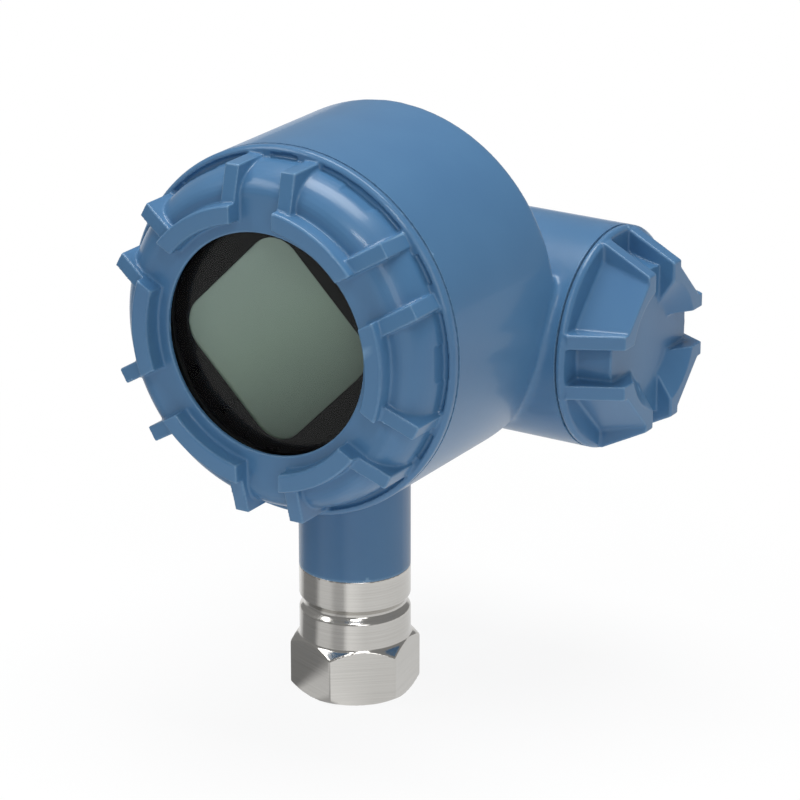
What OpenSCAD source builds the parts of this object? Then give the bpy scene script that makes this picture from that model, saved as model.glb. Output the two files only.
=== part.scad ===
// Wireless temperature transmitter: a round cast housing with a glass-fronted
// display cover, a crosswise battery compartment behind it with its own screw
// cap, and a stainless hex adapter below that takes the sensor.
//
// The origin is the mouth of the sensor thread, with +Z up, the display
// towards -Y and the battery cap towards +X.

/* [Housing] */
// Radius of the round body, which the display cover shares
body_r = 56; // [50:0.5:62]
// Length of the body behind the cover
body_len = 56.8; // [54:0.2:64]
// Thickness of the wall behind the electronics cavity
body_floor = 7.2; // [6:0.1:9]
// Height of the body's axis above the foot of the neck
neck_drop = 84.2; // [76:0.2:95]
// Distance from the cover's seam back to the neck's axis
neck_setback = 32; // [26:0.5:38]
// Radius of the neck
neck_r = 17.1; // [16:0.1:20]
// Thickness of the pads on the cavity floor that carry the module
pad_h = 2.6; // [2:0.1:3.5]
// Rounding of the body's rear rim
rim_round = 2.2; // [1:0.1:4]
// Radius of the lead passage in the neck
passage_r = 6.5; // [5:0.1:7]

/* [Battery compartment] */
// Radius of the crosswise boss
boss_r = 34.2; // [33.5:0.1:36]
// Distance from the body's rear face back to the boss's axis
boss_behind = 25.6; // [25:0.1:27]
// Drop of the boss's axis below the body's axis
boss_drop = 15.3; // [12:0.1:18]
// How far the cap's seam stands out past the body's side
boss_stand = 3.4; // [2:0.2:10]
// Length of the boss on the other side of the middle
boss_tail = 34; // [32:0.5:40]
// Radius of the compartment's bore
bay_r = 25.4; // [25.2:0.1:25.6]
// Thickness of the compartment's closed end
bay_end = 6; // [4:0.5:8]

/* [Display cover] */
// Height of the window ring above the seam
ring_h = 16.2; // [15.5:0.1:17]
// Height of the raised bars round the window above the seam
cover_h = 22; // [21:0.1:24]
// Height of the lugs at their inner ends above the seam
lug_root_h = 20; // [18:0.1:20.8]
// Height of the lugs at their outer ends above the seam
lug_end_h = 16; // [14:0.1:17]
// Radius of the window opening
window_r = 33.6; // [32:0.1:34.5]
// Inner radius of the raised bars
bar_in_r = 37.3; // [36.5:0.1:38.2]
// Outer radius of the raised bars
bar_out_r = 43; // [42:0.1:43.6]
// Radius of the dome's inner edge
shoulder_r = 44; // [43.8:0.1:45]
// Thickness of the flange next to the seam
flange_h = 3.6; // [3:0.1:4.2]
// Radius where the dome meets the flange
dome_foot_r = 52.6; // [51.8:0.1:52.8]
// Distance from the axis to the lugs' outer ends
lug_r = 53; // [52.9:0.1:54]
// Width of a lug
lug_w = 4.9; // [3.5:0.1:5.5]
// Distance from the middle of a pair to each of its two parallel lugs
lug_offset = 9.5; // [8:0.1:10.5]
// Number of pairs of lugs
lug_pairs = 6; // [4:1:8]
// Depth of the pockets at the foot of the dome
pocket_depth = 1; // [0.8:0.1:1.6]
// Width of the pockets
pocket_w = 1.7; // [1.2:0.1:2.1]
// Width of the seam outside the threaded spigot
seam_land = 8; // [7.4:0.1:8.4]
// Length of the threaded spigot
spigot_len = 10; // [8:0.5:11]
// Wall of the spigot
spigot_wall = 4.2; // [3:0.1:4.6]

/* [Battery cap] */
// Height of the cap's crown above the seam
cap_h = 18.6; // [17.4:0.1:20]
// Height of the channels' floor
cap_face_h = 13.4; // [12.5:0.1:14.5]
// Radius of the round core below the channels
cap_core_r = 25.8; // [25:0.1:26.4]
// Thickness of the cap's flange
cap_flange_h = 2.8; // [2.4:0.1:3.4]
// Distance of the lugs' outer faces from the axis, at the flange
cap_lug_foot = 29.4; // [28.8:0.1:30.6]
// Distance of the lugs' outer faces from the axis, at the crown
cap_lug_top = 24.4; // [23.6:0.1:25.5]
// Width of a lug on the cap
cap_lug_w = 4.5; // [3.8:0.1:5.2]
// Distance from the middle of a pair to each lug
cap_lug_offset = 7.9; // [7.4:0.1:8.4]
// Depth of the flat facets below the lugs
cap_facet_drop = 1.5; // [1:0.1:2]
// Inner radius of the crown at its top
crown_in_r = 19.6; // [18:0.1:21]
// Radius where the crown's inner slope meets the channels' floor
crown_foot_r = 12.4; // [11:0.1:14]
// Radius of the cap's threaded spigot
cap_spigot_r = 28.2; // [28:0.1:28.6]
// Length of the cap's threaded spigot
cap_spigot_len = 9; // [7:0.5:10]
// Wall of the cap's spigot
cap_spigot_wall = 3; // [2.6:0.1:3]

/* [Window and display] */
// Thickness of the window glass
glass_t = 4; // [3.2:0.1:4.2]
// Radius of the window glass
glass_r = 38.5; // [38.2:0.1:38.8]
// Thickness of the lip in front of the glass
lip_t = 1.7; // [1.4:0.1:2]
// Thickness of the window gasket
gasket_t = 0.8; // [0.5:0.1:1]
// Thickness of the window retainer
retainer_t = 3.2; // [2.6:0.1:3.6]
// Inner radius of the window retainer
retainer_in_r = 36; // [35.9:0.1:36.4]
// Radius of the display bezel
bezel_r = 35.4; // [35:0.1:35.6]
// Thickness of the display bezel
bezel_t = 1; // [0.8:0.1:1.3]
// Side of the square opening in the bezel
lcd_side = 49; // [46:0.5:51]
// Corner radius of the opening in the bezel
lcd_corner = 9.5; // [8.5:0.1:11]
// Thickness of the display cell
lcd_t = 2.4; // [2:0.1:3]
// Radius of the display board
display_board_r = 33.4; // [32.6:0.1:33.6]
// Thickness of every circuit board
board_t = 1.6; // [1.2:0.1:2]

/* [Electronics] */
// Clearance round the main board in the cavity
board_room = 4.2; // [3.2:0.1:6]
// Distance from the seam back to the front of the main board
main_board_setback = 14.4; // [14:0.1:16]
// Clearance round the electronics module in the cavity
module_room = 2.8; // [1.8:0.1:4]
// Radius of the circle of the display standoffs
standoff_pcd_r = 29.6; // [29:0.1:30]
// Radius of a display standoff
standoff_r = 2.2; // [1.8:0.1:2.6]
// Width of the sensor terminal block
terminal_w = 34; // [30:0.5:36]
// Height of the sensor terminal block
terminal_d = 12; // [10:0.5:12]
// Thickness of the sensor terminal block
terminal_t = 9; // [7:0.5:9.5]
// Number of sensor terminals
terminal_count = 4; // [2:1:6]
// Width of the radio's screening can
can_w = 24; // [18:0.5:28]
// Height of the radio's screening can
can_d = 18; // [14:0.5:20]
// Thickness of the radio's screening can
can_t = 3.4; // [2.5:0.1:4]

/* [Battery] */
// Radius of the power module
power_r = 24.6; // [24:0.1:24.8]
// Free length between the power module and the cap's seam
power_room = 4.4; // [2:0.2:10]
// Thickness of the contact block
contact_block_t = 7; // [6:0.2:8]
// Radius of a contact pin
contact_pin_r = 1.6; // [1.2:0.1:2]
// Radius of the plug between the two compartments
plug_r = 5; // [4:0.1:5.5]

/* [Sensor adapter] */
// Height of the adapter's upper ring
adapter_upper_h = 9.5; // [7:0.1:12]
// Height of the groove round the adapter
groove_h = 4.6; // [3.6:0.1:5.6]
// Depth of the groove round the adapter
groove_depth = 1.5; // [1:0.1:2]
// Height of the adapter's lower ring
adapter_lower_h = 8.6; // [7:0.1:11]
// Height of the cone above the hex
adapter_cone_h = 3; // [2:0.1:4]
// Height of the hex
hex_h = 12.8; // [11:0.1:16]
// Height of the rounded foot below the hex
foot_h = 2; // [1.5:0.1:3]
// Distance across the hex's flats
hex_af = 34.9; // [34.5:0.1:36]
// Turn of the hex about the neck's axis
hex_turn = 39.5; // [0:0.5:60]
// Radius of the sensor thread
sensor_thread_r = 9.15; // [9:0.05:9.6]
// Length of the sensor thread
sensor_thread_len = 16; // [14:0.5:20]
// Radius of the adapter's threaded spigot
adapter_spigot_r = 12.8; // [12:0.1:13.2]
// Length of the adapter's threaded spigot
adapter_spigot_len = 14; // [12:0.5:16]

/* [Hidden] */

// Clearance of screw threads, which are plain here
thread_gap = 0.3;
// Clearance between pieces that only lie close
gap = 0.3;
// Overrun of every cut
over = 1;
// Step from the spigot's radius in to the electronics cavity
cavity_step = 1.8;
// Gap at the two seams, and the chamfer beside it
seam_gap = 0.3;
seam_chamfer = 0.5;
// Soft edge of the covers' flanges
flange_edge = 1;
round_fn = 96;
small_fn = 32;
dome_steps = 10;
// Half an angle of the pockets at a pair's middle, and of the wide part of the long pockets
short_pocket_share = 0.65;
wide_pocket_share = 0.31;
wide_pocket_w = 0.4;
pocket_end_share = 1.3;
// How far the pockets bite into the foot of the dome
pocket_bite = 0.15;
// Bevel on the top edges of the raised bars, and how much the slots trim the lugs' sides
bar_edge = 0.5;
slot_trim = 0.1;
// Chamfer and draft of the cap's core
core_chamfer = 2.2;
core_draft = 1.9;
// Flat seals in the two covers' flanges, and the one under the adapter
seal_inset = 1.4;
seal_w = 2.8;
seal_t = 0.9;
cap_seal_t = 1.3;
adapter_seal_w = 2;
adapter_seal_t = 1.4;
// Part of the groove's height that each of its slopes takes
groove_slope_share = 0.4;
// The retainer's thread stands out past the glass, and it has holes for a pin wrench
retainer_lead = 0.9;
wrench_hole_r = 1.2;
wrench_hole_depth = 1;
// Border of the display cell behind the bezel, and the antenna on the display board
lcd_border = 1;
antenna_angle = 150;
antenna_w = 1.3;
antenna_t = 1;
// Places and sizes on the main board, whose screws stand over the pads
can_lift = 6;
connector_w = 14;
connector_d = 8;
connector_t = 5;
connector_drop = 9;
terminal_drop = 38;
terminal_floor = 3;
terminal_screw_r = 2.4;
slot_w = 0.8;
slot_depth = 1;
pad_count = 3;
pad_turn = 20;
screw_inset = 5;
screw_head_r = 3;
screw_head_t = 2;
screw_hex_r = 1.5;
// How far the contact pins stand out, and the pins of the plug between the compartments
pin_reach = 2;
plug_pin_r = 0.8;
// Blue paint, black moulding, bare steel, brass, green board, glass and display colours
blue = [0.2, 0.4, 0.6];
black = [0.06, 0.06, 0.07];
steel = [0.75, 0.74, 0.72];
brass = [0.8, 0.65, 0.3];
board_green = [0.1, 0.35, 0.2];
lcd_green = [0.4, 0.46, 0.42];
grey = [0.3, 0.3, 0.32];
glass_tint = [0.7, 0.8, 0.8, 0.35];

// Sizes that follow the body
spigot_r = body_r - seam_land;
cavity_r = spigot_r - cavity_step;
cavity_depth = body_len - body_floor;
boss_setback = body_len + boss_behind;
boss_reach = body_r + boss_stand;
main_board_r = cavity_r - board_room;
module_r = cavity_r - module_room;

// Heights above the sensor thread's mouth, and places behind the display cover
adapter_h = foot_h + hex_h + adapter_cone_h + adapter_lower_h + groove_h + adapter_upper_h;
body_z = adapter_h + neck_drop;
seam_y = -neck_setback;
boss_y = seam_y + boss_setback;
boss_z = body_z - boss_drop;
pair_step = 360 / lug_pairs;
// A pair of lugs stands straight above and below the display
first_pair = 90.9;

// Front of the glass and of what follows it, measured forward from the seam
glass_front = ring_h - lip_t;
glass_back = glass_front - glass_t;
gasket_back = glass_back - gasket_t;
retainer_back = gasket_back - retainer_t;
retainer_r = glass_r + retainer_lead;
bezel_front = glass_back - gap;
lcd_front = bezel_front - bezel_t;
display_board_front = lcd_front - lcd_t;
display_board_back = display_board_front - board_t;
main_board_front = -main_board_setback;
main_board_back = main_board_front - board_t;
module_back = pad_h - cavity_depth;
inner_r = spigot_r - spigot_wall;
cover_seat_h = gasket_back - retainer_t;

// Places along the battery compartment, measured from the body's middle
bay_left = bay_end - boss_tail;
contact_block_right = bay_left + contact_block_t;
power_left = contact_block_right;
power_len = boss_reach - power_room - power_left;
plug_x = bay_left + contact_block_t / 2;

// The display's axis: local x is the body's x, local y is up and local z is forward
module on_display_axis() {
    translate([0, seam_y, body_z]) rotate([90, 0, 0]) children();
}

// The battery's axis: local z points to the cap and local x points down
module on_battery_axis() {
    translate([0, boss_y, boss_z]) rotate([0, 90, 0]) children();
}

module disc(r, from, to, fn = round_fn) {
    translate([0, 0, from]) cylinder(r = r, h = to - from, $fn = fn);
}

module ring(r_out, r_in, from, to) {
    difference() {
        disc(r_out, from, to);
        disc(r_in, from - over, to + over);
    }
}

module on_circle(count, r, start = 0) {
    for (i = [0 : count - 1])
        rotate([0, 0, start + i * 360 / count]) translate([r, 0, 0]) children();
}

// A quarter of an ellipse from the foot of a dome up to its inner top edge
function dome(foot_r, foot_h, top_r, top_h) = [for (i = [0 : dome_steps])
    let (t = 90 * i / dome_steps)
    [top_r + (foot_r - top_r) * cos(t), foot_h + (top_h - foot_h) * sin(t)]];

// A sector of a turned shape, centred on the local x axis
module turned_sector(angle) {
    rotate([0, 0, -angle / 2]) rotate_extrude(angle = angle, $fn = round_fn) children();
}

// A flat bar cut from a radial profile, standing on the local x axis
module radial_bar(w) {
    translate([0, w / 2, 0]) rotate([90, 0, 0]) linear_extrude(height = w) children();
}

module rounded_square(side, corner) {
    half = side / 2 - corner;
    hull() for (x = [-half, half], y = [-half, half])
        translate([x, y]) circle(r = corner, $fn = small_fn);
}

module main_housing() {
    color(blue) difference() {
        union() {
            on_display_axis() {
                rotate_extrude($fn = round_fn) polygon([[0, -body_len], [body_r - rim_round, -body_len],
                    [body_r - rim_round * (1 - cos(45)), rim_round * (1 - cos(45)) - body_len],
                    [body_r, rim_round - body_len], [body_r, -seam_chamfer],
                    [body_r - seam_chamfer, 0], [0, 0]]);
            }
            on_battery_axis() rotate_extrude($fn = round_fn)
                polygon([[0, -boss_tail], [boss_r - rim_round, -boss_tail],
                    [boss_r - rim_round * (1 - cos(45)), rim_round * (1 - cos(45)) - boss_tail],
                    [boss_r, rim_round - boss_tail], [boss_r, boss_reach - seam_chamfer],
                    [boss_r - seam_chamfer, boss_reach], [0, boss_reach]]);
            translate([0, 0, adapter_h]) cylinder(r = neck_r, h = neck_drop - cavity_r, $fn = round_fn);
        }
        on_display_axis() {
            disc(cavity_r, -cavity_depth, -spigot_len - over);
            disc(spigot_r + thread_gap, -spigot_len - 2 * over, over);
        }
        on_battery_axis() {
            disc(bay_r, bay_left, boss_reach + over);
            disc(cap_spigot_r + thread_gap, boss_reach - cap_spigot_len - over, boss_reach + over);
        }
        disc(passage_r, adapter_h - over, body_z - neck_setback, small_fn);
        disc(adapter_spigot_r + thread_gap, adapter_h - over,
            adapter_h + adapter_spigot_len + over, round_fn);
        translate([0, 0, boss_z]) translate([plug_x, 0, 0]) rotate([-90, 0, 0])
            disc(plug_r, 0, boss_y, small_fn);
    }
    color(blue) on_display_axis() on_circle(pad_count, module_r - 2 * pad_h, first_pair + pad_turn)
        disc(2 * pad_h, -cavity_depth - over, module_back, small_fn);
}

module sensor_adapter() {
    cone_z = foot_h + hex_h;
    lower_z = cone_z + adapter_cone_h;
    groove_z = lower_z + adapter_lower_h;
    upper_z = groove_z + groove_h;
    corner_r = hex_af / 2 / cos(30);
    turned_r = corner_r + gap;
    foot_r = hex_af / 2;
    color(steel) difference() {
        union() {
            rotate_extrude($fn = round_fn) polygon([[0, cone_z], [neck_r, cone_z],
                [neck_r, groove_z], [neck_r - groove_depth, groove_z + groove_h * groove_slope_share],
                [neck_r - groove_depth, upper_z - groove_h * groove_slope_share], [neck_r, upper_z],
                [neck_r, adapter_h], [adapter_spigot_r, adapter_h],
                [adapter_spigot_r, adapter_h + adapter_spigot_len], [0, adapter_h + adapter_spigot_len]]);
            intersection() {
                rotate([0, 0, hex_turn]) cylinder(r = corner_r, h = lower_z, $fn = 6);
                rotate_extrude($fn = round_fn) polygon([[0, 0], [foot_r, 0],
                    [turned_r, foot_h], [turned_r, cone_z], [neck_r, lower_z], [0, lower_z]]);
            }
        }
        disc(passage_r, -over, adapter_h + adapter_spigot_len + over, small_fn);
        disc(sensor_thread_r, -over, sensor_thread_len);
        ring(adapter_spigot_r + adapter_seal_w, adapter_spigot_r, adapter_h - adapter_seal_t,
            adapter_h + over);
    }
}

module adapter_seal() {
    color(black) ring(adapter_spigot_r + adapter_seal_w - gap, adapter_spigot_r, adapter_h - adapter_seal_t,
        adapter_h);
}

// Outline of the turned cover, with a dome between its flange and its flat window ring
module cover_outline() {
    polygon(concat([[0, seam_gap], [body_r - seam_chamfer, seam_gap],
        [body_r, seam_gap + seam_chamfer], [body_r, flange_h - flange_edge],
        [body_r - flange_edge, flange_h]],
        dome(dome_foot_r, flange_h, shoulder_r, ring_h), [[0, ring_h]]));
}

// The raised bars and the lugs: a turned ring and parallel arms, parted by straight slots
module cover_bars() {
    slot = lug_offset - lug_w / 2 + slot_trim;
    difference() {
        union() {
            rotate_extrude($fn = round_fn) polygon([[bar_in_r, ring_h - over],
                [bar_out_r, ring_h - over], [bar_out_r, cover_h - bar_edge],
                [bar_out_r - bar_edge, cover_h], [bar_in_r + bar_edge, cover_h],
                [bar_in_r, cover_h - bar_edge]]);
            on_pairs() for (side = [-1, 1]) translate([0, side * lug_offset, 0]) radial_bar(lug_w)
                polygon([[bar_in_r + over, flange_h - over / 2], [lug_r, flange_h - over / 2],
                    [lug_r, lug_end_h], [bar_in_r + over, lug_root_h]]);
        }
        on_pairs() translate([0, -slot, 0]) cube([lug_r + over, 2 * slot, cover_h + over]);
    }
}

// A copy of what it is given at each pair of lugs
module on_pairs() {
    for (i = [0 : lug_pairs - 1]) rotate([0, 0, first_pair + i * pair_step]) children();
}

module cover_pockets() {
    inner = dome_foot_r - pocket_bite;
    lug_angle = asin(lug_offset / dome_foot_r);
    lug_span = lug_w / dome_foot_r * 180 / PI;
    span = pair_step - 2 * lug_angle;
    turned_sector((2 * lug_angle - lug_span) * short_pocket_share)
        translate([inner, flange_h - pocket_depth]) square([pocket_w, cover_h]);
    rotate([0, 0, pair_step / 2]) {
        turned_sector(span - pocket_end_share * lug_span)
            translate([inner, flange_h - pocket_depth]) square([pocket_w, cover_h]);
        turned_sector(span * wide_pocket_share)
            translate([inner - wide_pocket_w, flange_h - pocket_depth])
                square([pocket_w / 2 + wide_pocket_w, cover_h]);
    }
}

module front_cover() {
    color(blue) on_display_axis() difference() {
        union() {
            difference() {
                rotate_extrude($fn = round_fn) cover_outline();
                on_pairs() cover_pockets();
            }
            cover_bars();
            disc(spigot_r, -spigot_len, flange_h / 2);
        }
        disc(window_r, -spigot_len - over, cover_h + over);
        disc(glass_r + gap, glass_back - gap, glass_front);
        disc(retainer_r + thread_gap, 0, glass_back);
        disc(inner_r, -spigot_len - over, cover_seat_h - gap);
        ring(spigot_r + seal_inset + seal_w, spigot_r + seal_inset, 0, seam_gap + seal_t);
    }
}

module front_cover_seal() {
    color(black) on_display_axis()
        ring(spigot_r + seal_inset + seal_w - gap, spigot_r + seal_inset + gap, 0, seam_gap + seal_t);
}

module window_glass() {
    color(glass_tint) on_display_axis() disc(glass_r, glass_back, glass_front);
}

module window_gasket() {
    color(black) on_display_axis() ring(glass_r, retainer_in_r, gasket_back, glass_back);
}

module window_retainer() {
    color(black) on_display_axis() difference() {
        ring(retainer_r, retainer_in_r, retainer_back, gasket_back);
        on_circle(4, retainer_in_r)
            disc(wrench_hole_r, retainer_back - over, retainer_back + wrench_hole_depth, small_fn);
    }
}

// Outline of the battery cap's flange and core
module cap_core_outline() {
    polygon([[0, seam_gap], [boss_r - seam_chamfer, seam_gap], [boss_r, seam_gap + seam_chamfer],
        [boss_r, cap_flange_h - flange_edge], [boss_r - flange_edge, cap_flange_h],
        [cap_core_r, cap_flange_h], [cap_core_r - core_draft, cap_face_h - core_chamfer],
        [cap_core_r - core_chamfer, cap_face_h], [0, cap_face_h]]);
}

// Upright section of a lug, whose outer face leans in towards the crown
module leaning_outline(inner) {
    polygon([[inner, cap_flange_h - over], [cap_lug_foot, cap_flange_h - over],
        [cap_lug_foot, cap_flange_h], [cap_lug_top, cap_h], [inner, cap_h]]);
}

// A square pyramid with its faces between the local axes, from one face distance to another
module leaning_square(foot, top) {
    translate([0, 0, cap_flange_h - over])
        cylinder(r1 = foot / cos(45), r2 = top / cos(45), h = cap_h - cap_flange_h + over, $fn = 4);
}

// The crown: four pads with flat facets and a lug along each side of the cross-shaped channel
module cap_crown() {
    channel = cap_lug_offset - cap_lug_w / 2;
    outer = cap_lug_offset + cap_lug_w / 2;
    slope = (crown_in_r - crown_foot_r) / (cap_h - cap_face_h);
    foot = (cap_lug_foot + outer) * cos(45) - cap_facet_drop;
    top = (cap_lug_top + outer) * cos(45) - cap_facet_drop;
    difference() {
        for (turn = [0 : 90 : 270]) rotate([0, 0, turn]) {
            for (side = [-1, 1]) translate([0, side * cap_lug_offset, 0])
                radial_bar(cap_lug_w) leaning_outline(channel + 2 * gap);
            intersection() {
                translate([channel + gap, channel + gap, 0]) cube([boss_r, boss_r, 2 * cap_h]);
                leaning_square(foot, top);
                rotate([0, 0, 45]) leaning_square(cap_lug_foot - gap, cap_lug_top - gap);
            }
        }
        translate([0, 0, cap_face_h - over]) cylinder(r1 = crown_foot_r - over * slope,
            r2 = crown_in_r + over * slope, h = cap_h - cap_face_h + 2 * over, $fn = round_fn);
    }
}

module battery_cap() {
    color(blue) on_battery_axis() translate([0, 0, boss_reach]) difference() {
        union() {
            rotate_extrude($fn = round_fn) cap_core_outline();
            cap_crown();
            disc(cap_spigot_r, -cap_spigot_len, cap_flange_h / 2);
        }
        disc(cap_spigot_r - cap_spigot_wall, -cap_spigot_len - over, cap_flange_h);
        disc(cap_core_r - 2 * core_chamfer, 0, cap_face_h - cap_spigot_wall);
        ring(cap_spigot_r + seal_inset + seal_w, cap_spigot_r + seal_inset, 0, seam_gap + cap_seal_t);
    }
}

module battery_cap_seal() {
    color(black) on_battery_axis() translate([0, 0, boss_reach])
        ring(cap_spigot_r + seal_inset + seal_w - gap, cap_spigot_r + seal_inset + gap, 0,
            seam_gap + cap_seal_t);
}

module display_bezel() {
    color(black) on_display_axis() difference() {
        disc(bezel_r, display_board_back, bezel_front);
        disc(display_board_r + gap, display_board_back - over, lcd_front);
        rotate([0, 0, 45]) translate([0, 0, lcd_front - over])
            linear_extrude(height = bezel_t + 2 * over) rounded_square(lcd_side, lcd_corner);
    }
}

module lcd_panel() {
    color(lcd_green) on_display_axis() rotate([0, 0, 45]) translate([0, 0, display_board_front])
        linear_extrude(height = lcd_t) rounded_square(lcd_side + 2 * lcd_border, lcd_corner);
}

module display_board() {
    color(board_green) on_display_axis() disc(display_board_r, display_board_back, display_board_front);
}

module display_standoffs() {
    color(brass) on_display_axis() on_circle(4, standoff_pcd_r, 45) {
        disc(standoff_r, main_board_front, display_board_back, small_fn);
    }
}

module antenna_strip() {
    color(brass) on_display_axis() turned_sector(antenna_angle)
        translate([display_board_r - antenna_w, display_board_back - antenna_t])
            square([antenna_w, antenna_t]);
}

module main_board() {
    color(board_green) on_display_axis() disc(main_board_r, main_board_back, main_board_front);
}

module radio_can() {
    color(steel) on_display_axis() translate([-can_w / 2, can_lift, main_board_front])
        cube([can_w, can_d, can_t]);
}

module board_connector() {
    color(black) on_display_axis() translate([-connector_w / 2, -connector_drop, main_board_front])
        cube([connector_w, connector_d, connector_t]);
}

module at_terminals() {
    step = terminal_w / terminal_count;
    for (i = [0 : terminal_count - 1])
        translate([(i + 0.5) * step - terminal_w / 2, terminal_d / 2 - terminal_drop, main_board_front])
            children();
}

module terminal_block() {
    color(black) on_display_axis() difference() {
        translate([-terminal_w / 2, -terminal_drop, main_board_front])
            cube([terminal_w, terminal_d, terminal_t]);
        at_terminals() disc(terminal_screw_r + gap, terminal_floor, terminal_t + over, small_fn);
    }
}

module terminal_screws() {
    color(steel) on_display_axis() at_terminals() difference() {
        disc(terminal_screw_r, terminal_floor, terminal_t - slot_depth, small_fn);
        translate([-terminal_screw_r - over, -slot_w / 2, terminal_t - 2 * slot_depth])
            cube([2 * (terminal_screw_r + over), slot_w, slot_depth + over]);
    }
}

module electronics_module() {
    color(grey) on_display_axis() disc(module_r, module_back, main_board_back);
}

module module_screws() {
    color(steel) on_display_axis() on_circle(pad_count, main_board_r - screw_inset, first_pair + pad_turn)
        difference() {
            disc(screw_head_r, main_board_front, main_board_front + screw_head_t, small_fn);
            translate([0, 0, main_board_front + screw_head_t - slot_depth])
                cylinder(r = screw_hex_r, h = slot_depth + over, $fn = 6);
        }
}

module compartment_plug() {
    color(black) translate([plug_x, 0, boss_z]) rotate([-90, 0, 0])
        disc(plug_r - gap / 2, seam_y + cavity_depth, boss_y - power_r - pin_reach, small_fn);
}

module plug_pins() {
    color(brass) translate([plug_x, 0, boss_z]) rotate([-90, 0, 0])
        on_circle(2, 2 * plug_pin_r)
            disc(plug_pin_r, boss_y - power_r - pin_reach, boss_y - power_r, small_fn);
}

module contact_block() {
    color(black) on_battery_axis() disc(power_r, bay_left, contact_block_right);
}

module contact_pins() {
    color(brass) on_battery_axis() on_circle(2, power_r / 2)
        disc(contact_pin_r, contact_block_right, power_left + pin_reach, small_fn);
}

module power_module() {
    color(grey) on_battery_axis() difference() {
        disc(power_r, power_left, power_left + power_len);
        on_circle(2, power_r / 2)
            disc(contact_pin_r + gap, power_left - over, power_left + pin_reach + gap, small_fn);
    }
}

main_housing();
sensor_adapter();
adapter_seal();
front_cover();
window_glass();
window_gasket();
window_retainer();
front_cover_seal();
battery_cap();
battery_cap_seal();
display_bezel();
lcd_panel();
display_board();
display_standoffs();
antenna_strip();
main_board();
radio_can();
board_connector();
terminal_block();
terminal_screws();
electronics_module();
module_screws();
compartment_plug();
plug_pins();
contact_block();
contact_pins();
power_module();
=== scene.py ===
# %% [markdown]
# Wireless temperature transmitter.
# The object is a round aluminium casting under a half-gloss blue coat. A screw cover with a
# window closes its front, a smaller screw cap closes the battery compartment behind it, and a
# stainless hex adapter carries it from below. The solids come in as a fixed frame. This lesson
# gives the castings their soft edges and their coat, winds the threads, and gives every other
# piece its finish.

# %% Load the frame
from math import cos, pi, radians, sin

import bmesh
import bpy
from mathutils import Matrix, Vector


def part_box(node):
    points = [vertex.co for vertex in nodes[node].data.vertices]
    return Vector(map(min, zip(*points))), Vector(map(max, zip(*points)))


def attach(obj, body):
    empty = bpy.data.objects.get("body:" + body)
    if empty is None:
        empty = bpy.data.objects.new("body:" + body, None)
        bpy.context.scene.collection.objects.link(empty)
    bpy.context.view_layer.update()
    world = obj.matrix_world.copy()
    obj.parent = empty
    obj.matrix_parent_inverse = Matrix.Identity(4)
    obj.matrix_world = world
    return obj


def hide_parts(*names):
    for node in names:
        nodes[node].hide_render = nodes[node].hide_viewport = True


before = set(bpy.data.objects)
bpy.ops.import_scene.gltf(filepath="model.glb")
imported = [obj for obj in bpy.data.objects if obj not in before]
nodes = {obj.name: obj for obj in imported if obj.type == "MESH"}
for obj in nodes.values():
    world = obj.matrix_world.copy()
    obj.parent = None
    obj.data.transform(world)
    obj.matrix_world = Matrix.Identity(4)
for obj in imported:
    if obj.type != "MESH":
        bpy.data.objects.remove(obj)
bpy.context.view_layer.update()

MM = 0.001

# %% [markdown]
# The display faces -Y and the battery cap faces +X. Both covers turn about their own axis, so
# most pieces are easier to think of along one of these two axes. The axes and the seams are read
# from the boxes of the solids. Lengths that no box gives are written beside the piece that they
# belong to. They fit the solids as they are now, and don't follow a changed size by themselves.

# %% Find the two axes
cover_low, cover_high = (Vector(corner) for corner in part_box("front_cover"))
seal_low, seal_high = (Vector(corner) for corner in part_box("front_cover_seal"))
cap_low, cap_high = (Vector(corner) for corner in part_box("battery_cap"))
cap_seal_low, cap_seal_high = (Vector(corner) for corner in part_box("battery_cap_seal"))
neck_z = Vector(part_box("main_housing")[0]).z

display_z = (seal_low.z + seal_high.z) / 2
seam_y = seal_high.y
boss_y = (cap_seal_low.y + cap_seal_high.y) / 2
boss_z = (cap_seal_low.z + cap_seal_high.z) / 2
boss_x = cap_seal_low.x

# Local z of the first frame points out of the display, and of the second out of the battery cap
display_axis = Matrix.Translation((0, seam_y, display_z)) @ Matrix.Rotation(pi / 2, 4, "X")
battery_axis = Matrix.Translation((boss_x, boss_y, boss_z)) @ Matrix.Rotation(pi / 2, 4, "Y")
print("display axis z %.4f, seam y %.4f" % (display_z, seam_y))
print("battery axis y %.4f z %.4f, seam x %.4f" % (boss_y, boss_z, boss_x))

# %% [markdown]
# The camera stands in front, to the right and a little above, with a long lens. The angles and
# the distance were found by laying the outlines of the solids on the picture.

# %% Set up the camera
CAMERA_TURN = 0.5529
CAMERA_RISE = 0.35238
CAMERA_REACH = Vector((0.03058, -0.02044, 1.09648))
CAMERA_LENS = 169.6
SENSOR_WIDTH = 36

right = Vector((cos(CAMERA_TURN), sin(CAMERA_TURN), 0))
back = Vector((sin(CAMERA_TURN) * cos(CAMERA_RISE), -cos(CAMERA_TURN) * cos(CAMERA_RISE),
               sin(CAMERA_RISE)))
up = back.cross(right)
camera_data = bpy.data.cameras.new("camera")
camera_data.lens = CAMERA_LENS
camera_data.sensor_width = SENSOR_WIDTH
camera = bpy.data.objects.new("camera", camera_data)
bpy.context.collection.objects.link(camera)
camera.matrix_world = Matrix((right, up, back)).transposed().to_4x4()
camera.location = (Vector((0, seam_y, display_z)) + CAMERA_REACH.x * right
                   + CAMERA_REACH.y * up + CAMERA_REACH.z * back)
bpy.context.scene.camera = camera
print("camera at", [round(v, 3) for v in camera.location])

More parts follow.
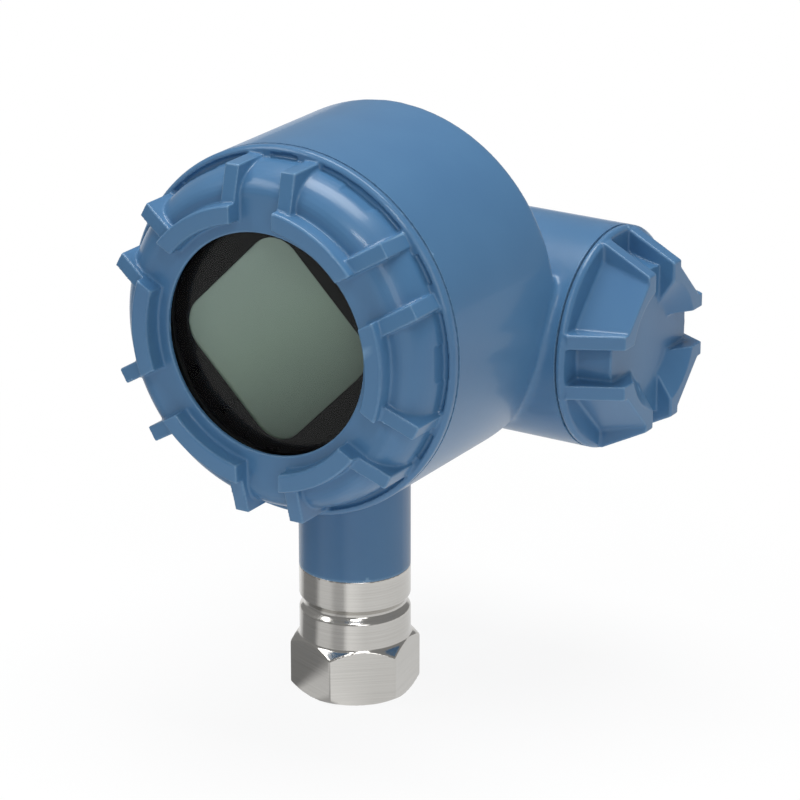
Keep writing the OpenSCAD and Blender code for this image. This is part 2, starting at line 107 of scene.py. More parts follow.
# %% [markdown]
# A shader is a small graph of nodes. These helpers add a node, join two sockets, and start a
# material from its plain values. Values that are the same all over stay on the shader's own
# sockets, and only what varies is joined to them.

# %% Helpers for materials
def add_node(material, kind, **values):
    node = material.node_tree.nodes.new("ShaderNode" + kind)
    for name, value in values.items():
        if name in node.inputs:
            node.inputs[name].default_value = value
        else:
            setattr(node, name, value)
    return node


def join(material, source, target):
    material.node_tree.links.new(source, target)


def start_material(name, color, roughness, metallic=0.0, **more):
    material = bpy.data.materials.new(name)
    material.use_nodes = True
    shader = material.node_tree.nodes["Principled BSDF"]
    shader.inputs["Base Color"].default_value = (*color, 1)
    shader.inputs["Roughness"].default_value = roughness
    shader.inputs["Metallic"].default_value = metallic
    for socket, value in more.items():
        shader.inputs[socket.replace("_", " ")].default_value = value
    material.diffuse_color = (*color, 1)
    return material, shader


def object_noise(material, scale, detail=3.0, roughness=0.5, stretch=(1, 1, 1)):
    """Noise on Object coordinates, in grains per metre, squeezed along each axis by stretch."""
    coordinates = add_node(material, "TexCoord")
    mapping = add_node(material, "Mapping")
    mapping.inputs["Scale"].default_value = stretch
    noise = add_node(material, "TexNoise")
    noise.inputs["Scale"].default_value = scale
    noise.inputs["Detail"].default_value = detail
    noise.inputs["Roughness"].default_value = roughness
    join(material, coordinates.outputs["Object"], mapping.inputs["Vector"])
    join(material, mapping.outputs["Vector"], noise.inputs["Vector"])
    return noise


def vary_value(material, source, low, high, target, start=0.3, end=0.7):
    """Spreads a source from start to end over low to high on one socket."""
    spread = add_node(material, "MapRange")
    spread.inputs["From Min"].default_value = start
    spread.inputs["From Max"].default_value = end
    spread.inputs["To Min"].default_value = low
    spread.inputs["To Max"].default_value = high
    join(material, source, spread.inputs["Value"])
    join(material, spread.outputs["Result"], target)


def vary_color(material, source, stops, target):
    """Colours a 0 to 1 source through stops of (place, colour)."""
    ramp = add_node(material, "ValToRGB")
    while len(ramp.color_ramp.elements) < len(stops):
        ramp.color_ramp.elements.new(0.5)
    for element, (place, color) in zip(ramp.color_ramp.elements, stops):
        element.position = place
        element.color = (*color, 1)
    join(material, source, ramp.inputs["Fac"])
    join(material, ramp.outputs["Color"], target)


def add_bump(material, shader, source, strength, distance):
    bump = add_node(material, "Bump")
    bump.inputs["Strength"].default_value = strength
    bump.inputs["Distance"].default_value = distance
    join(material, source, bump.inputs["Height"])
    join(material, bump.outputs["Normal"], shader.inputs["Normal"])

# %% [markdown]
# The coat is a thick baked finish on a casting. Up close it has a faint orange-peel surface, its
# gloss wanders a little, and the blue is a touch lighter where the coat is thin. A clear layer on
# top gives the sharp small highlights that sit over a softer sheen. The edges carry a painted
# highlight: they are coloured a paler blue, and the bend of the surface finds them.

# %% Blue coat
COAT_BLUE = (0.068, 0.182, 0.345)
COAT_LIGHT = (0.076, 0.197, 0.368)
COAT_DEEP = (0.062, 0.168, 0.33)
# The edge colour is a painted highlight, a paler blue that the bend of the surface lays on convex
# edges
COAT_EDGE_HIGHLIGHT = (0.2, 0.36, 0.54)
WANDER_GRAIN = 22
PEEL_GRAIN = 420
EDGE_HIGHLIGHT_SHARE = 0.75
EDGE_HIGHLIGHT_BEND = (0.515, 0.58)

blue_coat, shader = start_material("blue_coat", COAT_BLUE, 0.34, Specular_IOR_Level=0.35,
                                   Coat_Weight=0.25, Coat_Roughness=0.1)
wander = object_noise(blue_coat, WANDER_GRAIN, 4)
edge_highlight_mix = add_node(blue_coat, "Mix", data_type="RGBA")
# A Mix node keeps sockets for every kind of value: these three are its colours
fill, edges, tone = edge_highlight_mix.inputs[6], edge_highlight_mix.inputs[7], edge_highlight_mix.outputs[2]
vary_color(blue_coat, wander.outputs["Fac"],
           [(0.3, COAT_DEEP), (0.5, COAT_BLUE), (0.72, COAT_LIGHT)], fill)
# Painted highlight: convex edges are mixed towards the paler edge colour
edges.default_value = (*COAT_EDGE_HIGHLIGHT, 1)
bend = add_node(blue_coat, "NewGeometry")
vary_value(blue_coat, bend.outputs["Pointiness"], 0, EDGE_HIGHLIGHT_SHARE, edge_highlight_mix.inputs["Factor"], *EDGE_HIGHLIGHT_BEND)
join(blue_coat, tone, shader.inputs["Base Color"])
vary_value(blue_coat, wander.outputs["Fac"], 0.3, 0.38, shader.inputs["Roughness"])
peel = object_noise(blue_coat, PEEL_GRAIN, 2)
add_bump(blue_coat, shader, peel.outputs["Fac"], 0.09, 0.0002)
print("made", blue_coat.name)

# %% [markdown]
# The adapter is turned from stainless bar. Turning leaves fine rings round its axis, so the noise
# is squeezed hard along Z and hardly at all across it. The same rings carry the small changes in
# gloss that make machined steel read as steel. The small plated pieces inside have plain scuffs.

# %% Turned and plated steel
STEEL_DARK = (0.57, 0.557, 0.53)
STEEL_LIGHT = (0.66, 0.645, 0.615)
RING_GRAIN = 60
RING_SQUEEZE = (0.5, 0.5, 60)
SCUFF_GRAIN = 900

turned_steel, shader = start_material("turned_steel", (0.62, 0.605, 0.575), 0.16, 1.0)
rings = object_noise(turned_steel, RING_GRAIN, 4, 0.6, RING_SQUEEZE)
vary_value(turned_steel, rings.outputs["Fac"], 0.11, 0.21, shader.inputs["Roughness"])
vary_color(turned_steel, rings.outputs["Fac"], [(0.25, STEEL_DARK), (0.7, STEEL_LIGHT)],
           shader.inputs["Base Color"])
add_bump(turned_steel, shader, rings.outputs["Fac"], 0.06, 0.0001)

plated_steel, shader = start_material("plated_steel", (0.62, 0.61, 0.59), 0.3, 1.0)
scuffs = object_noise(plated_steel, SCUFF_GRAIN, 3)
vary_value(plated_steel, scuffs.outputs["Fac"], 0.22, 0.42, shader.inputs["Roughness"])
add_bump(plated_steel, shader, scuffs.outputs["Fac"], 0.1, 0.0001)
print("made", turned_steel.name, plated_steel.name)

# %% [markdown]
# Mouldings have a fine spark-eroded grain, rubber has a duller and coarser one, and the circuit
# boards are a lacquered weave. Each is one noise at the right size, joined to the bump and to
# small changes in colour and roughness. The display's frame is smoother and hardly shines.

# %% Mouldings, rubber, boards and brass
FRAME_SPECULAR = 0.12


def grained(name, color, lighter, roughness, grain, depth, metallic=0.0):
    material, shader = start_material(name, color, roughness, metallic)
    fine = object_noise(material, grain, 3)
    vary_value(material, fine.outputs["Fac"], roughness - 0.05, roughness + 0.08,
               shader.inputs["Roughness"])
    vary_color(material, fine.outputs["Fac"], [(0.3, color), (0.75, lighter)],
               shader.inputs["Base Color"])
    add_bump(material, shader, fine.outputs["Fac"], 0.2, depth)
    return material


frame_black = grained("frame_black", (0.0022, 0.0018, 0.002), (0.003, 0.0026, 0.0028),
                      0.3, 60, 0.000001)
frame_shader = frame_black.node_tree.nodes["Principled BSDF"]
frame_shader.inputs["Specular IOR Level"].default_value = FRAME_SPECULAR
black_moulding = grained("black_moulding", (0.006, 0.006, 0.0065), (0.012, 0.012, 0.013),
                         0.42, 1400, 0.00008)
grey_moulding = grained("grey_moulding", (0.05, 0.05, 0.054), (0.07, 0.07, 0.075),
                        0.5, 1200, 0.0001)
seal_rubber = grained("seal_rubber", (0.012, 0.012, 0.012), (0.022, 0.022, 0.022),
                      0.62, 900, 0.0001)
board_lacquer = grained("board_lacquer", (0.012, 0.1, 0.04), (0.02, 0.14, 0.06),
                        0.3, 700, 0.00006)
bare_brass = grained("bare_brass", (0.6, 0.42, 0.16), (0.72, 0.52, 0.22),
                     0.28, 800, 0.00005, 1.0)
gold_plate = grained("gold_plate", (0.78, 0.54, 0.2), (0.86, 0.62, 0.26),
                     0.2, 800, 0.00004, 1.0)
print("made seven grained finishes")

# %% [markdown]
# The window is thick flat glass. Real refraction would leave everything behind it dark and noisy,
# so the glass is a clear layer that lets the light through, with a mirror over it that grows
# towards grazing angles, as it does on real glass. An instrument's window is coated against
# glare, so the mirror is weak.

# %% Window glass
GLASS_TINT = (0.96, 0.975, 0.97)
GLASS_IOR = 1.45
MIRROR_SHARE = 0.16
MIRROR_ROUGHNESS = 0.02

window_glass, shader = start_material("window_glass", GLASS_TINT, 0.03)
clear = add_node(window_glass, "BsdfTransparent")
clear.inputs["Color"].default_value = (*GLASS_TINT, 1)
mirror = add_node(window_glass, "BsdfGlossy")
mirror.inputs["Roughness"].default_value = MIRROR_ROUGHNESS
grazing = add_node(window_glass, "Fresnel")
grazing.inputs["IOR"].default_value = GLASS_IOR
coated = add_node(window_glass, "Math", operation="MULTIPLY")
coated.inputs[1].default_value = MIRROR_SHARE
blend = add_node(window_glass, "MixShader")
glass_output = window_glass.node_tree.nodes["Material Output"]
join(window_glass, grazing.outputs["Fac"], coated.inputs[0])
join(window_glass, coated.outputs["Value"], blend.inputs["Fac"])
join(window_glass, clear.outputs["BSDF"], blend.inputs[1])
join(window_glass, mirror.outputs["BSDF"], blend.inputs[2])
join(window_glass, blend.outputs["Shader"], glass_output.inputs["Surface"])
window_glass.node_tree.nodes.remove(shader)
print("made", window_glass.name)

# %% [markdown]
# The display is a reflective liquid-crystal cell with nothing on it: a grey-green film with a
# very fine grain. A reflection is painted onto it: the film is lighter towards its upper left
# corner, and towards its lower right it darkens with painted shade.

# %% Display film
# The film's colours paint a reflection: lighter at the upper left, nearly black at the lower
# right, which is painted shade
FILM_PAINTED_LIT = (0.345, 0.435, 0.385)
FILM_MIDDLE = (0.21, 0.28, 0.225)
FILM_PAINTED_SHADE = (0.02, 0.04, 0.026)
FILM_REACH = 0.034
FILM_RIGHT = 0.62
FILM_DOWN = 0.78
FILM_GRAIN = 2500

display_film, shader = start_material("display_film", FILM_PAINTED_LIT, 0.3)
place = add_node(display_film, "TexCoord")
slope = add_node(display_film, "Mapping")
slope.inputs["Location"].default_value = (0, 0, -display_z)
turned = add_node(display_film, "VectorMath", operation="DOT_PRODUCT")
turned.inputs[1].default_value = (FILM_RIGHT / FILM_REACH, 0, -FILM_DOWN / FILM_REACH)
join(display_film, place.outputs["Object"], slope.inputs["Vector"])
join(display_film, slope.outputs["Vector"], turned.inputs[0])
spread = add_node(display_film, "MapRange")
spread.inputs["From Min"].default_value = -1.0
spread.inputs["From Max"].default_value = 1.0
join(display_film, turned.outputs["Value"], spread.inputs["Value"])
# The painted reflection and shade run across the film from its upper left to its lower right
vary_color(display_film, spread.outputs["Result"],
           [(0.0, FILM_PAINTED_LIT), (0.5, FILM_MIDDLE), (1.0, FILM_PAINTED_SHADE)],
           shader.inputs["Base Color"])
film_grain = object_noise(display_film, FILM_GRAIN, 2)
add_bump(display_film, shader, film_grain.outputs["Fac"], 0.02, 0.00001)
print("made", display_film.name)

# %% [markdown]
# A casting has no sharp edge anywhere, and a thick coat softens it further. The solids are
# sharp, so the shape is rebuilt from small voxels and then relaxed a few times: flat and round
# faces stay where they are, and every edge and corner turns over by about a millimetre.

# %% Helpers for meshes
SOLID_WELD = 1e-6
SPIN_WELD = 1e-7
SPIN_STEPS = 128


def new_piece(name, mesh, material):
    piece = bpy.data.objects.new(name, mesh)
    bpy.context.collection.objects.link(piece)
    mesh.materials.clear()
    mesh.materials.append(material)
    return piece


def apply_modifiers(piece):
    """Turns a piece and its modifiers into one plain mesh."""
    bpy.context.view_layer.update()
    evaluated = piece.evaluated_get(bpy.context.evaluated_depsgraph_get())
    mesh = bpy.data.meshes.new_from_object(evaluated)
    piece.modifiers.clear()
    old = piece.data
    piece.data = mesh
    mesh.name = piece.name
    bpy.data.meshes.remove(old)


def shade_smooth(piece):
    piece.data.polygons.foreach_set("use_smooth", [True] * len(piece.data.polygons))


def soften(piece, voxel, passes, share=1.0):
    """Rebuilds a closed piece from voxels, relaxes it and keeps a share of its triangles."""
    remesh = piece.modifiers.new("voxels", "REMESH")
    remesh.mode = "VOXEL"
    remesh.voxel_size = voxel
    relax = piece.modifiers.new("relax", "SMOOTH")
    relax.factor = 0.5
    relax.iterations = passes
    if share < 1:
        thin = piece.modifiers.new("thin", "DECIMATE")
        thin.ratio = share
    apply_modifiers(piece)
    shade_smooth(piece)
    print("%s: %d faces" % (piece.name, len(piece.data.polygons)))


def merged_copy(node, name, material):
    """A copy of a solid's mesh with its loose triangles joined."""
    mesh = nodes[node].data.copy()
    shape = bmesh.new()
    shape.from_mesh(mesh)
    bmesh.ops.remove_doubles(shape, verts=shape.verts, dist=SOLID_WELD)
    shape.to_mesh(mesh)
    shape.free()
    return new_piece(name, mesh, material)


def turned_piece(name, outline, place, material):
    """Spins an outline of (radius, height) round the local z axis of place."""
    mesh = bpy.data.meshes.new(name)
    shape = bmesh.new()
    verts = [shape.verts.new((radius, 0, height)) for radius, height in outline]
    edges = [shape.edges.new(pair) for pair in zip(verts, verts[1:])]
    if outline[0][0] > 0:
        edges.append(shape.edges.new((verts[-1], verts[0])))
    bmesh.ops.spin(shape, geom=verts + edges, cent=(0, 0, 0), axis=(0, 0, 1), angle=2 * pi,
                   steps=SPIN_STEPS)
    bmesh.ops.remove_doubles(shape, verts=shape.verts, dist=SPIN_WELD)
    bmesh.ops.recalc_face_normals(shape, faces=shape.faces)
    shape.transform(place)
    shape.to_mesh(mesh)
    shape.free()
    return new_piece(name, mesh, material)


def combine(piece, cutter, operation="DIFFERENCE"):
    """Cuts a piece with another, or adds it, and throws the other away."""
    cut = piece.modifiers.new("combine", "BOOLEAN")
    cut.operation = operation
    cut.solver = "EXACT"
    cut.object = cutter
    apply_modifiers(piece)
    bpy.data.objects.remove(cutter)

# %% [markdown]
# The display cover is the piece that the eye goes to: six raised bars round the window, twelve
# lugs in pairs, and stepped pockets at the foot of the dome. Small voxels keep the pockets, and
# the triangles that lie flat are thinned out afterwards.

# %% Display cover
COVER_VOXEL = 0.4 * MM
COVER_PASSES = 3
COVER_SHARE = 0.3

display_cover = merged_copy("front_cover", "display_cover", blue_coat)
soften(display_cover, COVER_VOXEL, COVER_PASSES, COVER_SHARE)
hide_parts("front_cover")
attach(display_cover, "front_cover")

# %% [markdown]
# The battery cap has eight lugs along a cross-shaped channel. On the real casting their feet run
# out almost to the rim, so a wedge is added to each before the voxels melt all of it together.
# A wedge is an outline of (radius, height) in millimetres with a width across it.

# %% Battery cap
CAP_VOXEL = 0.4 * MM
CAP_PASSES = 4
CAP_SHARE = 0.45
LUG_OFFSET = 7.9 * MM
LUG_WIDTH = 4.5 * MM
LUG_FOOT = [(24, 2.4), (32.4, 2.4), (32.4, 3.4), (24.6, 18.4), (21.5, 18.4), (21.5, 14)]

cap_casting = merged_copy("battery_cap", "cap_casting", blue_coat)
shape = bmesh.new()
shape.from_mesh(cap_casting.data)
for turn in range(4):
    place = battery_axis @ Matrix.Rotation(turn * pi / 2, 4, "Z")
    for side in (-1, 1):
        rows = []
        for half in (-0.5, 0.5):
            across = side * LUG_OFFSET + half * LUG_WIDTH
            rows.append([shape.verts.new(place @ Vector((r * MM, across, h * MM)))
                         for r, h in LUG_FOOT])
        near, far = rows
        walls = [shape.faces.new(row) for row in rows]
        for here, there in enumerate([*range(1, len(LUG_FOOT)), 0]):
            walls.append(shape.faces.new((near[here], near[there], far[there], far[here])))
        bmesh.ops.recalc_face_normals(shape, faces=walls)
shape.to_mesh(cap_casting.data)
shape.free()
soften(cap_casting, CAP_VOXEL, CAP_PASSES, CAP_SHARE)
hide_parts("battery_cap")
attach(cap_casting, "battery_cap")

# %% [markdown]
# The housing is one casting, with a blended corner wherever the boss and the neck run into the
# barrel. Three turned bodies are melted into one shell, which leaves those blends. Each stands
# a little proud of its machined end, so that the cuts that come next find metal there.

# %% Housing casting
HOUSING_VOXEL = 0.95 * MM
HOUSING_PASSES = 9
PROUD = 3 * MM
RIM = 2.2 * MM
RIM_STEP = 0.3

BODY_LENGTH = 56.8 * MM
BOSS_TAIL = 34 * MM
NECK_RADIUS = 17.1 * MM
NECK_ROOT = 45 * MM

body_r = (cover_high.x - cover_low.x) / 2
boss_r = (cap_high.z - cap_low.z) / 2
print("body radius %.4f, boss radius %.4f" % (body_r, boss_r))


def rimmed(radius, back, front, rim):
    """Outline of a round bar whose back edge is broken by two short slopes."""
    return [(0, back), (radius - rim, back), (radius - RIM_STEP * rim, back + RIM_STEP * rim),
            (radius, back + rim), (radius, front), (0, front)]


neck_place = Matrix.Translation((0, 0, neck_z))
boss_back = -BOSS_TAIL - boss_x
housing_casting = turned_piece("housing_casting", rimmed(body_r, -BODY_LENGTH, PROUD, RIM),
                               display_axis, blue_coat)
boss = turned_piece("boss", rimmed(boss_r, boss_back, PROUD, RIM), battery_axis, blue_coat)
neck_outline = [(0, -PROUD), (NECK_RADIUS, -PROUD), (NECK_RADIUS, NECK_ROOT), (0, NECK_ROOT)]
neck = turned_piece("neck", neck_outline, neck_place, blue_coat)
combine(housing_casting, boss, "UNION")
combine(housing_casting, neck, "UNION")
soften(housing_casting, HOUSING_VOXEL, HOUSING_PASSES)

# %% [markdown]
# The machined faces and bores are cut after the shell is soft, so that they stay crisp: the
# electronics cavity with the recess for the cover's spigot, the battery bay, and the bore in the
# neck. Each cutter is turned round its own axis and also faces off the proud end.

# %% Machine the housing
CAVITY_RADIUS = 46.2 * MM
CAVITY_DEPTH = 49.6 * MM
RECESS_RADIUS = 48.3 * MM
RECESS_DEPTH = 12 * MM
BAY_RADIUS = 25.4 * MM
CAP_RECESS_RADIUS = 28.5 * MM
CAP_RECESS_DEPTH = 10 * MM
BORE_RADIUS = 13.1 * MM
BORE_DEPTH = 15 * MM
PASSAGE_RADIUS = 6.5 * MM
FAR = 80 * MM
SHARP_ANGLE = 50

bay_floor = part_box("contact_block")[0][0] - boss_x
cavity_cutter = [
    (0, -CAVITY_DEPTH), (CAVITY_RADIUS, -CAVITY_DEPTH), (CAVITY_RADIUS, -RECESS_DEPTH),
    (RECESS_RADIUS, -RECESS_DEPTH), (RECESS_RADIUS, 0), (FAR, 0), (FAR, 2 * PROUD),
    (0, 2 * PROUD)]
bay_cutter = [
    (0, bay_floor), (BAY_RADIUS, bay_floor), (BAY_RADIUS, -CAP_RECESS_DEPTH),
    (CAP_RECESS_RADIUS, -CAP_RECESS_DEPTH), (CAP_RECESS_RADIUS, 0), (boss_r + PROUD, 0),
    (boss_r + PROUD, 2 * PROUD), (0, 2 * PROUD)]
neck_cutter = [
    (0, -2 * PROUD), (NECK_RADIUS + PROUD, -2 * PROUD), (NECK_RADIUS + PROUD, 0),
    (BORE_RADIUS, 0), (BORE_RADIUS, BORE_DEPTH), (PASSAGE_RADIUS, BORE_DEPTH),
    (PASSAGE_RADIUS, NECK_ROOT), (0, NECK_ROOT)]
for title, outline, place in (
        ("cavity", cavity_cutter, display_axis), ("bay", bay_cutter, battery_axis),
        ("bore", neck_cutter, neck_place)):
    combine(housing_casting, turned_piece(title, outline, place, blue_coat))
    print("cut the %s: %d faces" % (title, len(housing_casting.data.polygons)))

shade_smooth(housing_casting)
housing_casting.data.set_sharp_from_angle(angle=radians(SHARP_ANGLE))
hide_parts("main_housing")
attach(housing_casting, "housing")

# %% [markdown]
# The adapter is turned and milled, so its edges are only broken, by a few tenths of a
# millimetre. The same rebuild with smaller voxels and few passes gives that small bright edge.

# %% Sensor adapter
ADAPTER_VOXEL = 0.34 * MM
ADAPTER_PASSES = 3
ADAPTER_SHARE = 0.4

turned_adapter = merged_copy("sensor_adapter", "turned_adapter", turned_steel)
soften(turned_adapter, ADAPTER_VOXEL, ADAPTER_PASSES, ADAPTER_SHARE)
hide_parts("sensor_adapter")
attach(turned_adapter, "housing")

# %% [markdown]
# Threads follow a rule, so one node tree winds them all: a spiral carries a thin six-sided ridge,
# with the radius, the pitch, the number of turns and the size of the ridge as its inputs.

# %% Thread tree
SPIRAL_STEPS = 96
RIDGE_SIDES = 6


def tree_input(tree, name, kind, value=None):
    socket = tree.interface.new_socket(name=name, in_out="INPUT",
                                       socket_type="NodeSocket" + kind)
    if value is not None:
        socket.default_value = value


def tree_node(tree, kind, **values):
    node = tree.nodes.new(kind)
    for name, value in values.items():
        node.inputs[name.replace("_", " ")].default_value = value
    return node


thread_tree = bpy.data.node_groups.new("thread", "GeometryNodeTree")
tree_input(thread_tree, "Radius", "Float", 10 * MM)
tree_input(thread_tree, "Pitch", "Float", 2 * MM)
tree_input(thread_tree, "Turns", "Float", 4.0)
tree_input(thread_tree, "Ridge", "Float", 0.9 * MM)
tree_input(thread_tree, "Finish", "Material")
thread_tree.interface.new_socket(name="Geometry", in_out="OUTPUT",
                                 socket_type="NodeSocketGeometry")
given = thread_tree.nodes.new("NodeGroupInput")
result = thread_tree.nodes.new("NodeGroupOutput")
length = thread_tree.nodes.new("ShaderNodeMath")
length.operation = "MULTIPLY"
spiral = tree_node(thread_tree, "GeometryNodeCurveSpiral", Resolution=SPIRAL_STEPS)
section = tree_node(thread_tree, "GeometryNodeCurvePrimitiveCircle", Resolution=RIDGE_SIDES)
sweep = thread_tree.nodes.new("GeometryNodeCurveToMesh")
sweep.inputs["Fill Caps"].default_value = True
realized = thread_tree.nodes.new("GeometryNodeRealizeInstances")
painted = thread_tree.nodes.new("GeometryNodeSetMaterial")
for source, target in (
        (given.outputs["Pitch"], length.inputs[0]),
        (given.outputs["Turns"], length.inputs[1]),
        (length.outputs[0], spiral.inputs["Height"]),
        (given.outputs["Turns"], spiral.inputs["Rotations"]),
        (given.outputs["Radius"], spiral.inputs["Start Radius"]),
        (given.outputs["Radius"], spiral.inputs["End Radius"]),
        (given.outputs["Ridge"], section.inputs["Radius"]),
        (spiral.outputs["Curve"], sweep.inputs["Curve"]),
        (section.outputs["Curve"], sweep.inputs["Profile Curve"]),
        (sweep.outputs["Mesh"], realized.inputs[0]),
        (realized.outputs[0], painted.inputs["Geometry"]),
        (given.outputs["Finish"], painted.inputs["Material"]),
        (painted.outputs["Geometry"], result.inputs["Geometry"])):
    thread_tree.links.new(source, target)


def run_tree(name, tree, values, place):
    """Runs a node tree with its inputs set by identifier and keeps the result as a plain mesh."""
    piece = new_piece(name, bpy.data.meshes.new(name), values["Finish"])
    modifier = piece.modifiers.new("nodes", "NODES")
    modifier.node_group = tree
    for item in tree.interface.items_tree:
        if item.item_type == "SOCKET" and item.in_out == "INPUT" and item.name in values:
            modifier[item.identifier] = values[item.name]
    apply_modifiers(piece)
    piece.data.transform(place)
    print("%s: %d faces" % (name, len(piece.data.polygons)))
    return piece

# %% [markdown]
# The tree runs once for each thread: on the cover's spigot, on the cap's spigot, and in the bore
# that takes the sensor. The spigots' threads start below the seam and climb towards it.

# %% Wind the threads
COVER_THREAD = {"Radius": 47.2 * MM, "Pitch": 2 * MM, "Turns": 4.0, "Ridge": 0.85 * MM,
                "Finish": blue_coat}
CAP_THREAD = {"Radius": 27.4 * MM, "Pitch": 2 * MM, "Turns": 3.5, "Ridge": 0.85 * MM,
              "Finish": blue_coat}
BORE_THREAD = {"Radius": 9.25 * MM, "Pitch": 1.81 * MM, "Turns": 8.0, "Ridge": 0.75 * MM,
               "Finish": turned_steel}
COVER_START = Matrix.Translation((0, 0, -9 * MM))
CAP_START = Matrix.Translation((0, 0, -8 * MM))
BORE_START = Matrix.Translation((0, 0, 1 * MM))

for title, values, body, slot, place in (
        ("cover_thread", COVER_THREAD, "front_cover", "blue_paint", display_axis @ COVER_START),
        ("cap_thread", CAP_THREAD, "battery_cap", "blue_paint", battery_axis @ CAP_START),
        ("sensor_thread", BORE_THREAD, "housing", "stainless", BORE_START)):
    thread = run_tree(title, thread_tree, values, place)
    shade_smooth(thread)
    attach(thread, body)

# %% [markdown]
# Behind the glass, a black moulded frame holds the cell. Its opening has a rounded edge, as a
# moulded one has.

# %% Display frame
BEZEL_VOXEL = 0.34 * MM
BEZEL_PASSES = 6

display_frame = merged_copy("display_bezel", "display_frame", frame_black)
soften(display_frame, BEZEL_VOXEL, BEZEL_PASSES)
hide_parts("display_bezel")
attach(display_frame, "housing")

# %% [markdown]
# The other solids keep their meshes and get their finish. Most of them are inside and show only
# when a cover is off.

# %% Finish the solids that stay
FINISHES = {
    "window_glass": window_glass, "window_gasket": seal_rubber,
    "window_retainer": black_moulding, "front_cover_seal": seal_rubber,
    "battery_cap_seal": seal_rubber, "adapter_seal": seal_rubber,
    "lcd_panel": display_film, "display_board": board_lacquer,
    "display_standoffs": bare_brass, "antenna_strip": bare_brass,
    "main_board": board_lacquer, "radio_can": plated_steel,
    "board_connector": black_moulding, "terminal_block": black_moulding,
    "terminal_screws": plated_steel, "electronics_module": grey_moulding,
    "module_screws": plated_steel, "compartment_plug": black_moulding,
    "plug_pins": gold_plate, "contact_block": black_moulding,
    "contact_pins": gold_plate, "power_module": grey_moulding,
}
for title, finish in FINISHES.items():
    nodes[title].data.materials.clear()
    nodes[title].data.materials.append(finish)
print("finished", len(FINISHES), "solids")

# %% [markdown]
# The studio is a white floor that fades into a white backdrop. Light that bounces meets an
# ordinary pale surface. What the camera sees is nine tenths glow close to the object, so a faint
# soft shadow stays there, and all glow further out. What shines mirrors pale screens with dark
# gaps between them. They are given as (share of a full turn, brightness), and the turn starts
# at -X.

# %% Floor
FLOOR_SIZE = 6.0
FLOOR_PALE = (0.96, 0.96, 0.96)
SHADOW_NEAR = 0.1
SHADOW_FAR = 0.3
FLOOR_GLOW = 0.9
SCREENS = ((0.069, 0.20), (0.117, 0.20), (0.144, 0.70), (0.206, 0.70), (0.233, 0.45),
           (0.278, 0.45), (0.300, 1.00), (0.322, 1.00), (0.389, 0.82), (0.764, 0.80),
           (0.847, 0.95), (0.944, 0.95), (0.986, 0.50))
WHITE = (1, 1, 1, 1)

floor_mesh = bpy.data.meshes.new("floor")
half = FLOOR_SIZE / 2
floor_mesh.from_pydata([(-half, -half, 0), (half, -half, 0), (half, half, 0), (-half, half, 0)],
                       [], [(0, 1, 2, 3)])
floor_paint, shader = start_material("floor_paint", FLOOR_PALE, 0.9)
floor = new_piece("floor", floor_mesh, floor_paint)
glow = add_node(floor_paint, "Emission")
glow.inputs["Color"].default_value = WHITE
rays = add_node(floor_paint, "LightPath")
seen = add_node(floor_paint, "Math", operation="MAXIMUM")
seen_too = add_node(floor_paint, "Math", operation="MAXIMUM")
place = add_node(floor_paint, "TexCoord")
distance = add_node(floor_paint, "VectorMath", operation="LENGTH")
fade = add_node(floor_paint, "MapRange", interpolation_type="SMOOTHSTEP")
fade.inputs["From Min"].default_value = SHADOW_NEAR
fade.inputs["From Max"].default_value = SHADOW_FAR
fade.inputs["To Min"].default_value = FLOOR_GLOW
amount = add_node(floor_paint, "Math", operation="MULTIPLY")
blend = add_node(floor_paint, "MixShader")
around = add_node(floor_paint, "TexGradient", gradient_type="RADIAL")
mirrored = add_node(floor_paint, "Emission")
backdrop = add_node(floor_paint, "MixShader")
floor_output = floor_paint.node_tree.nodes["Material Output"]
vary_color(floor_paint, around.outputs["Fac"],
           [(share, (level, level, level)) for share, level in SCREENS],
           mirrored.inputs["Color"])
for source, target in (
        (place.outputs["Object"], around.inputs["Vector"]),
        (rays.outputs["Is Glossy Ray"], backdrop.inputs["Fac"]),
        (glow.outputs["Emission"], backdrop.inputs[1]),
        (mirrored.outputs["Emission"], backdrop.inputs[2]),
        (rays.outputs["Is Camera Ray"], seen.inputs[0]),
        (rays.outputs["Is Glossy Ray"], seen.inputs[1]),
        (seen.outputs["Value"], seen_too.inputs[0]),
        (rays.outputs["Is Transmission Ray"], seen_too.inputs[1]),
        (place.outputs["Object"], distance.inputs[0]),
        (distance.outputs["Value"], fade.inputs["Value"]),
        (fade.outputs["Result"], amount.inputs[0]),
        (seen_too.outputs["Value"], amount.inputs[1]),
        (amount.outputs["Value"], blend.inputs["Fac"]),
        (shader.outputs["BSDF"], blend.inputs[1]),
        (backdrop.outputs["Shader"], blend.inputs[2]),
        (blend.outputs["Shader"], floor_output.inputs["Surface"])):
    join(floor_paint, source, target)
print("floor is in")

# %% [markdown]
# The sky is a weak white light for the surfaces, a little stronger in reflections, and plain
# white wherever the camera sees past the floor.

# %% Backdrop
SKY_STRENGTH = 0.2
MIRROR_STRENGTH = 0.35

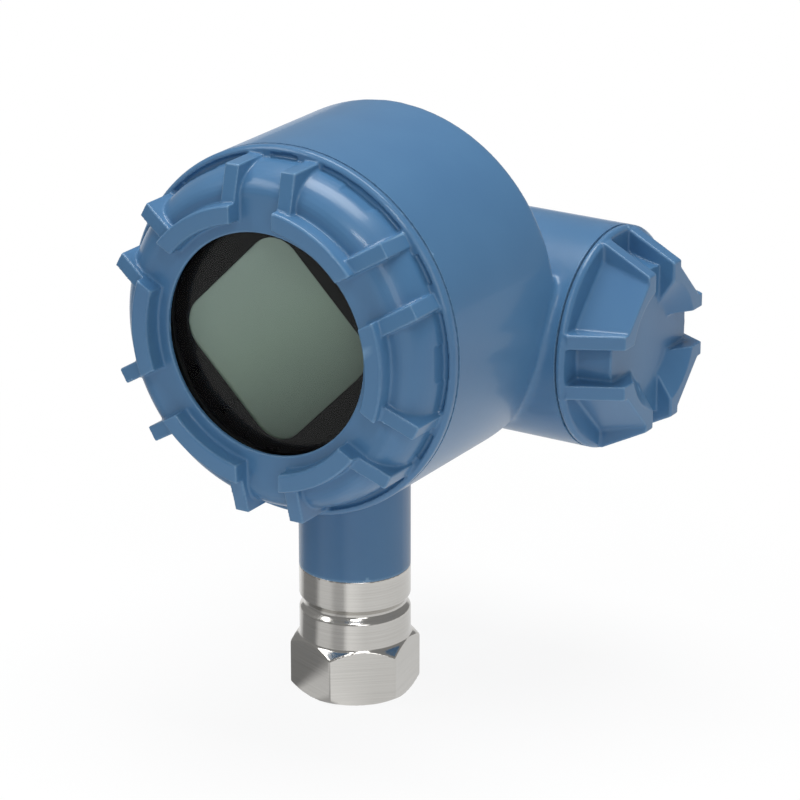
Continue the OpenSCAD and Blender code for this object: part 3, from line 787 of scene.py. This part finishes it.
world = bpy.data.worlds.new("studio")
bpy.context.scene.world = world
world.use_nodes = True
sky = world.node_tree.nodes["Background"]
sky.inputs["Color"].default_value = WHITE
sky.inputs["Strength"].default_value = SKY_STRENGTH
white = add_node(world, "Background", Strength=1.0)
white.inputs["Color"].default_value = WHITE
screens = add_node(world, "Background", Strength=MIRROR_STRENGTH)
rays = add_node(world, "LightPath")
mirrored = add_node(world, "MixShader")
mix = add_node(world, "MixShader")
world_output = world.node_tree.nodes["World Output"]
for source, target in (
        (rays.outputs["Is Glossy Ray"], mirrored.inputs["Fac"]),
        (sky.outputs["Background"], mirrored.inputs[1]),
        (screens.outputs["Background"], mirrored.inputs[2]),
        (rays.outputs["Is Camera Ray"], mix.inputs["Fac"]),
        (mirrored.outputs["Shader"], mix.inputs[1]),
        (white.outputs["Background"], mix.inputs[2]),
        (mix.outputs["Shader"], world_output.inputs["Surface"])):
    join(world, source, target)
print("backdrop is in")

# %% [markdown]
# Four soft boxes light it: a large one overhead for the form, a small long one in front of it
# for the bright streak along the dome of the cover, one from the right for the barrels and the
# neck, and one from high on the left, which casts the faint shadow to the right.

# %% Lamps
LAMP_AIM = (0, 0, 0.11)
# name, place, width and height in metres, and power in watts
LAMPS = (
    ("top_box", (0.0, 0.15, 1.2), 0.9, 0.5, 10.5),
    ("streak_box", (0.43, -0.64, 0.89), 0.3, 0.12, 1.6),
    ("right_box", (1.0, -0.9, 0.55), 0.5, 0.7, 2.8),
    ("left_box", (-0.7, -0.55, 1.0), 0.6, 0.4, 3.2),
)

for title, location, width, height, power in LAMPS:
    lamp = bpy.data.lights.new(title, "AREA")
    lamp.shape = "RECTANGLE"
    lamp.size = width
    lamp.size_y = height
    lamp.energy = power
    box = bpy.data.objects.new(title, lamp)
    bpy.context.collection.objects.link(box)
    box.location = location
    aim = Vector(LAMP_AIM) - Vector(location)
    box.rotation_euler = aim.to_track_quat("-Z", "Y").to_euler()
bpy.context.scene.view_settings.view_transform = "Standard"
print("lit by", len(LAMPS), "lamps")
